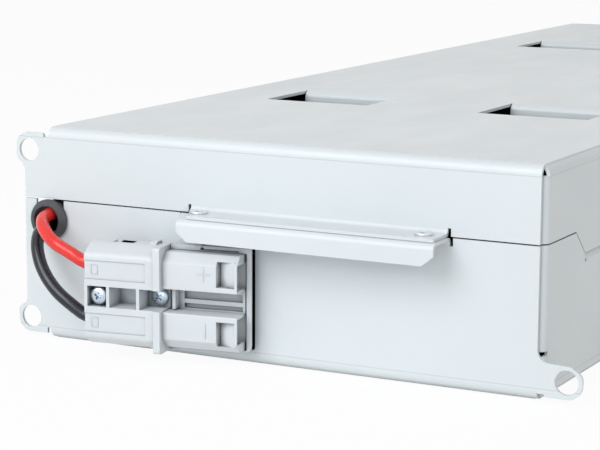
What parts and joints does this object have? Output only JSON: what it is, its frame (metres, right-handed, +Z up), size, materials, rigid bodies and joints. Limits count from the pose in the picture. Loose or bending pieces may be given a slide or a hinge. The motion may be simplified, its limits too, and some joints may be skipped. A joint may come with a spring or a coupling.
{
  "type": "battery cartridge",
  "caption": "Flat folded sheet-metal battery cartridge with a handle lip, drilled ears, lanced tabs and a two-pole connector with two leads.",
  "frame": {"origin": "centre of the underside of the case, without the ears and the handle", "axes": "+Z up, +Y towards the back of the case, so the connector and the handle face -Y"},
  "size_m": [0.2337, 0.6091, 0.083],
  "materials": {
    "sheet_steel": "satin",
    "zinc_steel": "satin",
    "black_rubber": "matte",
    "grey_housing": "matte",
    "grey_carrier": "matte",
    "silvered_copper": "polished",
    "tinned_brass": "satin",
    "red_sleeve": "matte",
    "black_sleeve": "matte",
    "jumper_sleeve": "matte",
    "battery_case": "matte",
    "foam": "matte"
  },
  "bodies": {
    "root": {"battery_1": "battery_case", "battery_2": "battery_case", "battery_3": "battery_case", "battery_4": "battery_case", "battery_5": "battery_case", "battery_6": "battery_case", "battery_7": "battery_case", "battery_8": "battery_case", "carrier_screws": "zinc_steel", "connector_carrier": "grey_carrier", "connector_housing": "grey_housing", "connector_screws": "zinc_steel", "contact_negative": "silvered_copper", "contact_positive": "silvered_copper", "cover": "sheet_steel", "foam_bottom": "foam", "foam_sides": "foam", "foam_top": "foam", "grommet": "black_rubber", "handle_rivets": "zinc_steel", "jumper_1": "jumper_sleeve", "jumper_2": "jumper_sleeve", "jumper_3": "jumper_sleeve", "jumper_4": "jumper_sleeve", "jumper_5": "jumper_sleeve", "jumper_6": "jumper_sleeve", "jumper_7": "jumper_sleeve", "lead_black": "black_sleeve", "lead_red": "red_sleeve", "rear_rivets": "zinc_steel", "receptacles": "tinned_brass", "spacer_front_left": "foam", "spacer_front_right": "foam", "spacer_middle": "foam", "spacer_rear": "foam", "terminals_1": "tinned_brass", "terminals_2": "tinned_brass", "terminals_3": "tinned_brass", "terminals_4": "tinned_brass", "terminals_5": "tinned_brass", "terminals_6": "tinned_brass", "terminals_7": "tinned_brass", "terminals_8": "tinned_brass", "tray": "sheet_steel"}
  },
  "joints": []
}
